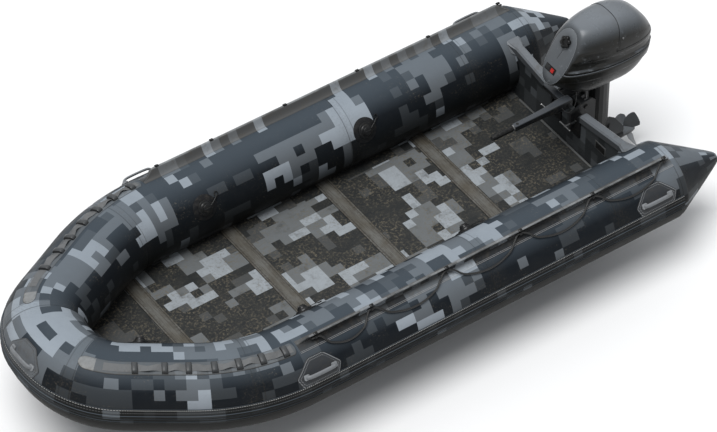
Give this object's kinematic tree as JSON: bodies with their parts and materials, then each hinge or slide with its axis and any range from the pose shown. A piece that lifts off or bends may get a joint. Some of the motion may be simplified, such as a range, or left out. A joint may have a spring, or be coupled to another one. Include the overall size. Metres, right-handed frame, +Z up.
{
  "type": "inflatable boat with outboard motor",
  "caption": "Inflatable work boat in grey-blue digital camouflage, with a hard sectional floor, lifelines, a board transom and a tiller-steered outboard motor.",
  "frame": {"origin": "on the floor's top face, on the centre line, midway along the tubes", "axes": "+X aft towards the motor, +Y to starboard, +Z up"},
  "size_m": [4.4996, 1.9936, 1.27],
  "materials": {
    "tube_fabric": "semi-matt coated fabric with a grey-blue digital camouflage",
    "bottom_fabric": "matt coated fabric",
    "floor": "painted board with a worn digital camouflage and dirt",
    "joiner": "dull, scuffed and dirty",
    "transom": "dark semi-matt paint",
    "cap": "moulded, grey",
    "trim_rubber": "grey, matt, dusty",
    "patch": "grey, matt, dusty",
    "handle": "dark grey, moulded",
    "rope": "black braid",
    "valve": "black moulded",
    "valve_cap": "black moulded",
    "cowl": "dark grey, fine satin",
    "motor_black": "black satin",
    "bracket": "black satin",
    "steel": "brushed",
    "propeller": "grey painted",
    "engine": "cast",
    "knob": "black moulded",
    "button": "red",
    "tiller": "dark grey satin",
    "rubber": "black ribbed"
  },
  "bodies": {
    "hull": {"tube_bow": "tube_fabric", "tube_port_forward": "tube_fabric", "tube_port_aft": "tube_fabric", "tube_starboard_forward": "tube_fabric", "tube_starboard_aft": "tube_fabric", "cone_port": "tube_fabric", "cone_starboard": "tube_fabric", "bottom_skin": "bottom_fabric", "floor_panel_stern": "floor", "floor_panel_aft": "floor", "floor_panel_middle": "floor", "floor_panel_forward": "floor", "floor_panel_bow": "floor", "floor_joiner_stern": "joiner", "floor_joiner_aft": "joiner", "floor_joiner_middle": "joiner", "floor_joiner_forward": "joiner", "transom_board": "transom", "transom_cap_port": "cap", "transom_cap_starboard": "cap", "rope_rail_port": "trim_rubber", "rope_rail_starboard": "trim_rubber", "rubbing_strake": "trim_rubber", "bow_strap_patch_port": "patch", "bow_strap_patch_starboard": "patch", "carry_handle_bow": "handle", "carry_handle_port_forward": "handle", "carry_handle_port_aft": "handle", "carry_handle_starboard_forward": "handle", "carry_handle_starboard_aft": "handle", "lifeline_port": "rope", "lifeline_starboard": "rope", "valve_body_bow": "valve", "valve_body_port_forward": "valve", "valve_body_port_aft": "valve", "valve_body_starboard_forward": "valve", "valve_body_starboard_aft": "valve", "clamp_bracket": "bracket", "tilt_pin": "steel"},
    "clamp_screw_port": {"clamp_screw_port": "steel"},
    "clamp_screw_starboard": {"clamp_screw_starboard": "steel"},
    "swivel": {"swivel_bracket": "bracket"},
    "motor": {"leg_housing": "motor_black", "gear_case": "motor_black", "cowl_lower": "cowl", "cowl_upper": "cowl", "cowl_rear_panel": "cowl", "powerhead": "engine", "stop_cable": "rope"},
    "drive_shaft": {"drive_shaft": "steel"},
    "propeller": {"propeller": "propeller"},
    "tiller": {"tiller_arm": "tiller"},
    "throttle_grip": {"throttle_grip": "rubber"},
    "front_knob": {"front_knob": "knob"},
    "stop_button": {"stop_button": "button"},
    "valve_cap_bow": {"valve_cap_bow": "valve_cap"},
    "valve_cap_port_forward": {"valve_cap_port_forward": "valve_cap"},
    "valve_cap_port_aft": {"valve_cap_port_aft": "valve_cap"},
    "valve_cap_starboard_forward": {"valve_cap_starboard_forward": "valve_cap"},
    "valve_cap_starboard_aft": {"valve_cap_starboard_aft": "valve_cap"}
  },
  "joints": [
    {"name": "motor_tilt", "type": "hinge", "parent": "hull", "child": "swivel", "pos_m": [1.727, 0, 0.343], "axis": [0, -1, 0], "range_deg": [0, 25]},
    {"name": "steering", "type": "hinge", "parent": "swivel", "child": "motor", "pos_m": [1.783, 0, 0.291], "axis": [0, 0, 1], "range_deg": [-40, 40]},
    {"name": "propeller_spin", "type": "hinge", "parent": "motor", "child": "propeller", "pos_m": [2.0912, 0, -0.149], "axis": [1, 0, 0], "continuous": true},
    {"name": "drive_shaft_spin", "type": "hinge", "parent": "motor", "child": "drive_shaft", "pos_m": [1.9, 0, -0.13715], "axis": [0, 0, 1], "continuous": true},
    {"name": "tiller_fold", "type": "hinge", "parent": "motor", "child": "tiller", "pos_m": [1.58, -0.081, 0.441], "axis": [0, 1, 0], "range_deg": [0, 45]},
    {"name": "throttle_twist", "type": "hinge", "parent": "tiller", "child": "throttle_grip", "pos_m": [1.1896, -0.081, 0.441], "axis": [-1, 0, 0], "range_deg": [0, 75]},
    {"name": "front_knob_turn", "type": "hinge", "parent": "motor", "child": "front_knob", "pos_m": [1.63498, 0, 0.84671], "axis": [-0.8651, 0, 0.5017], "range_deg": [-90, 90]},
    {"name": "stop_button_press", "type": "slide", "parent": "motor", "child": "stop_button", "axis": [0.8651, 0, -0.5017], "range_m": [0, 0.004], "stiffness_N_per_m": 300},
    {"name": "clamp_screw_port_turn", "type": "hinge", "parent": "hull", "child": "clamp_screw_port", "pos_m": [1.6647, -0.095, 0.257], "axis": [1, 0, 0], "range_deg": [-720, 0]},
    {"name": "clamp_screw_starboard_turn", "type": "hinge", "parent": "hull", "child": "clamp_screw_starboard", "pos_m": [1.6647, 0.095, 0.257], "axis": [1, 0, 0], "range_deg": [-720, 0]},
    {"name": "valve_cap_bow_turn", "type": "hinge", "parent": "hull", "child": "valve_cap_bow", "pos_m": [-1.56709, -0.22465, 0.3917], "axis": [0.4759, 0.7239, 0.4994], "range_deg": [0, 360]},
    {"name": "valve_cap_port_forward_turn", "type": "hinge", "parent": "hull", "child": "valve_cap_port_forward", "pos_m": [-0.63387, -0.49909, 0.32882], "axis": [0.005, 0.866, 0.5], "range_deg": [0, 360]},
    {"name": "valve_cap_port_aft_turn", "type": "hinge", "parent": "hull", "child": "valve_cap_port_aft", "pos_m": [0.524, -0.49909, 0.32836], "axis": [0, 0.866, 0.5], "range_deg": [0, 360]},
    {"name": "valve_cap_starboard_forward_turn", "type": "hinge", "parent": "hull", "child": "valve_cap_starboard_forward", "pos_m": [-0.63387, 0.49909, 0.32882], "axis": [0.005, -0.866, 0.5], "range_deg": [0, 360]},
    {"name": "valve_cap_starboard_aft_turn", "type": "hinge", "parent": "hull", "child": "valve_cap_starboard_aft", "pos_m": [0.524, 0.49909, 0.32836], "axis": [0, -0.866, 0.5], "range_deg": [0, 360]}
  ],
  "couplings": [
    {"joint": "drive_shaft_spin", "follows": "propeller_spin", "ratio": -2.0769}
  ]
}
